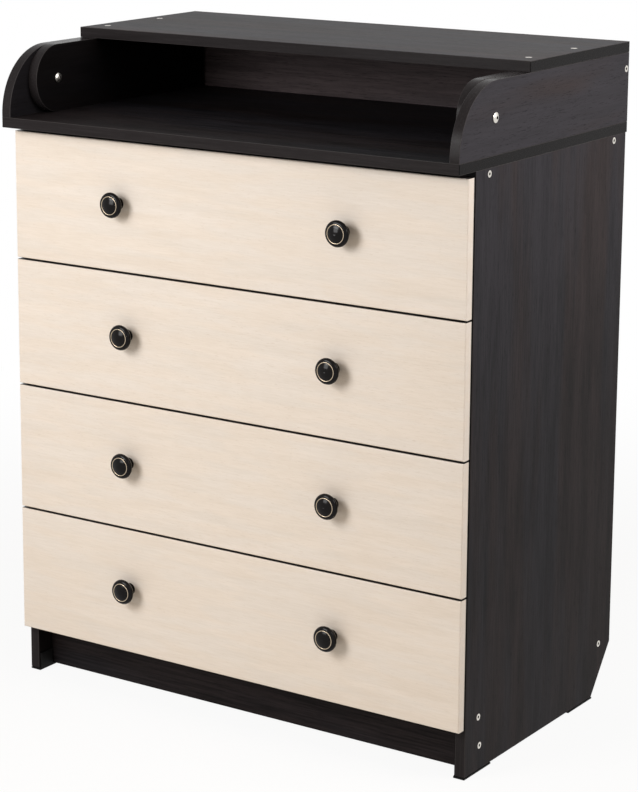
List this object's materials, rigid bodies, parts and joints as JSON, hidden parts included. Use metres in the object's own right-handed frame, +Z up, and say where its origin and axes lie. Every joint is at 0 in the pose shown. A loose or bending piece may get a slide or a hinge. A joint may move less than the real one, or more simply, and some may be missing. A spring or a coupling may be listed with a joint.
{
  "type": "changing dresser",
  "caption": "Dark chest with cream drawers under an open changing tray, whose lid turns half a turn forward to lie level in front of the top; drawers run on rollers.",
  "frame": {"origin": "on the floor, below the middle of the top slab", "axes": "+X to the dresser's right as seen from the front, drawer fronts face -Y, +Z up"},
  "size_m": [0.806, 0.5, 1.0183],
  "materials": {
    "dark_board": "dark wenge laminate, fine vertical grain, satin",
    "cream_front": "milk oak laminate, faint horizontal grain, satin, dark upper and lower edges",
    "box_board": "white melamine, satin",
    "hardboard": "hardboard, white on its smooth inner face, raw brown fibre outside",
    "knob_black": "black, high gloss",
    "drawer_metal": "pale metal rings, zinc screws and cams",
    "runner_steel": "white powder coat",
    "roller_plastic": "white nylon",
    "nickel": "nickel plated",
    "pad_plastic": "black plastic, matt"
  },
  "bodies": {
    "root": {"back_panel": "hardboard", "bottom_shelf": "dark_board", "cabinet_runners": "runner_steel", "carcass_screws": "nickel", "cheek_left": "dark_board", "cheek_right": "dark_board", "foot_pads": "pad_plastic", "pivot_screws": "nickel", "pivot_sleeves": "nickel", "plinth": "dark_board", "rear_board": "dark_board", "side_panel_left": "dark_board", "side_panel_right": "dark_board", "small_fixings": "nickel", "top_rails": "dark_board", "top_slab": "dark_board"},
    "lid": {"lid_arm_left": "dark_board", "lid_arm_right": "dark_board", "lid_panel": "dark_board", "lid_screws": "nickel"},
    "drawer_1": {"drawer_1_back": "box_board", "drawer_1_bottom": "hardboard", "drawer_1_fittings": "drawer_metal", "drawer_1_front": "cream_front", "drawer_1_knobs": "knob_black", "drawer_1_runners": "runner_steel", "drawer_1_side_left": "box_board", "drawer_1_side_right": "box_board"},
    "drawer_1_rollers": {"drawer_1_rollers": "roller_plastic"},
    "cabinet_rollers_1": {"cabinet_rollers_1": "roller_plastic"},
    "drawer_2": {"drawer_2_back": "box_board", "drawer_2_bottom": "hardboard", "drawer_2_fittings": "drawer_metal", "drawer_2_front": "cream_front", "drawer_2_knobs": "knob_black", "drawer_2_runners": "runner_steel", "drawer_2_side_left": "box_board", "drawer_2_side_right": "box_board"},
    "drawer_2_rollers": {"drawer_2_rollers": "roller_plastic"},
    "cabinet_rollers_2": {"cabinet_rollers_2": "roller_plastic"},
    "drawer_3": {"drawer_3_back": "box_board", "drawer_3_bottom": "hardboard", "drawer_3_fittings": "drawer_metal", "drawer_3_front": "cream_front", "drawer_3_knobs": "knob_black", "drawer_3_runners": "runner_steel", "drawer_3_side_left": "box_board", "drawer_3_side_right": "box_board"},
    "drawer_3_rollers": {"drawer_3_rollers": "roller_plastic"},
    "cabinet_rollers_3": {"cabinet_rollers_3": "roller_plastic"},
    "drawer_4": {"drawer_4_back": "box_board", "drawer_4_bottom": "hardboard", "drawer_4_fittings": "drawer_metal", "drawer_4_front": "cream_front", "drawer_4_knobs": "knob_black", "drawer_4_runners": "runner_steel", "drawer_4_side_left": "box_board", "drawer_4_side_right": "box_board"},
    "drawer_4_rollers": {"drawer_4_rollers": "roller_plastic"},
    "cabinet_rollers_4": {"cabinet_rollers_4": "roller_plastic"}
  },
  "joints": [
    {"name": "lid_fold", "type": "hinge", "parent": "root", "child": "lid", "pos_m": [0, -0.154, 0.9503], "axis": [1, 0, 0], "range_deg": [0, 180]},
    {"name": "drawer_1_slide", "type": "slide", "parent": "root", "child": "drawer_1", "axis": [0, -1, 0], "range_m": [0, 0.3]},
    {"name": "drawer_1_rollers_spin", "type": "hinge", "parent": "drawer_1", "child": "drawer_1_rollers", "pos_m": [0, 0.182, 0.717], "axis": [1, 0, 0], "range_deg": [0, 2025.2]},
    {"name": "cabinet_rollers_1_spin", "type": "hinge", "parent": "root", "child": "cabinet_rollers_1", "pos_m": [0, -0.19, 0.72], "axis": [1, 0, 0], "range_deg": [0, 2025.2]},
    {"name": "drawer_2_slide", "type": "slide", "parent": "root", "child": "drawer_2", "axis": [0, -1, 0], "range_m": [0, 0.3]},
    {"name": "drawer_2_rollers_spin", "type": "hinge", "parent": "drawer_2", "child": "drawer_2_rollers", "pos_m": [0, 0.182, 0.517], "axis": [1, 0, 0], "range_deg": [0, 2025.2]},
    {"name": "cabinet_rollers_2_spin", "type": "hinge", "parent": "root", "child": "cabinet_rollers_2", "pos_m": [0, -0.19, 0.52], "axis": [1, 0, 0], "range_deg": [0, 2025.2]},
    {"name": "drawer_3_slide", "type": "slide", "parent": "root", "child": "drawer_3", "axis": [0, -1, 0], "range_m": [0, 0.3]},
    {"name": "drawer_3_rollers_spin", "type": "hinge", "parent": "drawer_3", "child": "drawer_3_rollers", "pos_m": [0, 0.182, 0.317], "axis": [1, 0, 0], "range_deg": [0, 2025.2]},
    {"name": "cabinet_rollers_3_spin", "type": "hinge", "parent": "root", "child": "cabinet_rollers_3", "pos_m": [0, -0.19, 0.32], "axis": [1, 0, 0], "range_deg": [0, 2025.2]},
    {"name": "drawer_4_slide", "type": "slide", "parent": "root", "child": "drawer_4", "axis": [0, -1, 0], "range_m": [0, 0.3]},
    {"name": "drawer_4_rollers_spin", "type": "hinge", "parent": "drawer_4", "child": "drawer_4_rollers", "pos_m": [0, 0.182, 0.117], "axis": [1, 0, 0], "range_deg": [0, 2025.2]},
    {"name": "cabinet_rollers_4_spin", "type": "hinge", "parent": "root", "child": "cabinet_rollers_4", "pos_m": [0, -0.19, 0.12], "axis": [1, 0, 0], "range_deg": [0, 2025.2]}
  ],
  "couplings": [
    {"joint": "drawer_1_rollers_spin", "follows": "drawer_1_slide", "rad_per_m": 117.65},
    {"joint": "cabinet_rollers_1_spin", "follows": "drawer_1_slide", "rad_per_m": 117.65},
    {"joint": "drawer_2_rollers_spin", "follows": "drawer_2_slide", "rad_per_m": 117.65},
    {"joint": "cabinet_rollers_2_spin", "follows": "drawer_2_slide", "rad_per_m": 117.65},
    {"joint": "drawer_3_rollers_spin", "follows": "drawer_3_slide", "rad_per_m": 117.65},
    {"joint": "cabinet_rollers_3_spin", "follows": "drawer_3_slide", "rad_per_m": 117.65},
    {"joint": "drawer_4_rollers_spin", "follows": "drawer_4_slide", "rad_per_m": 117.65},
    {"joint": "cabinet_rollers_4_spin", "follows": "drawer_4_slide", "rad_per_m": 117.65}
  ]
}
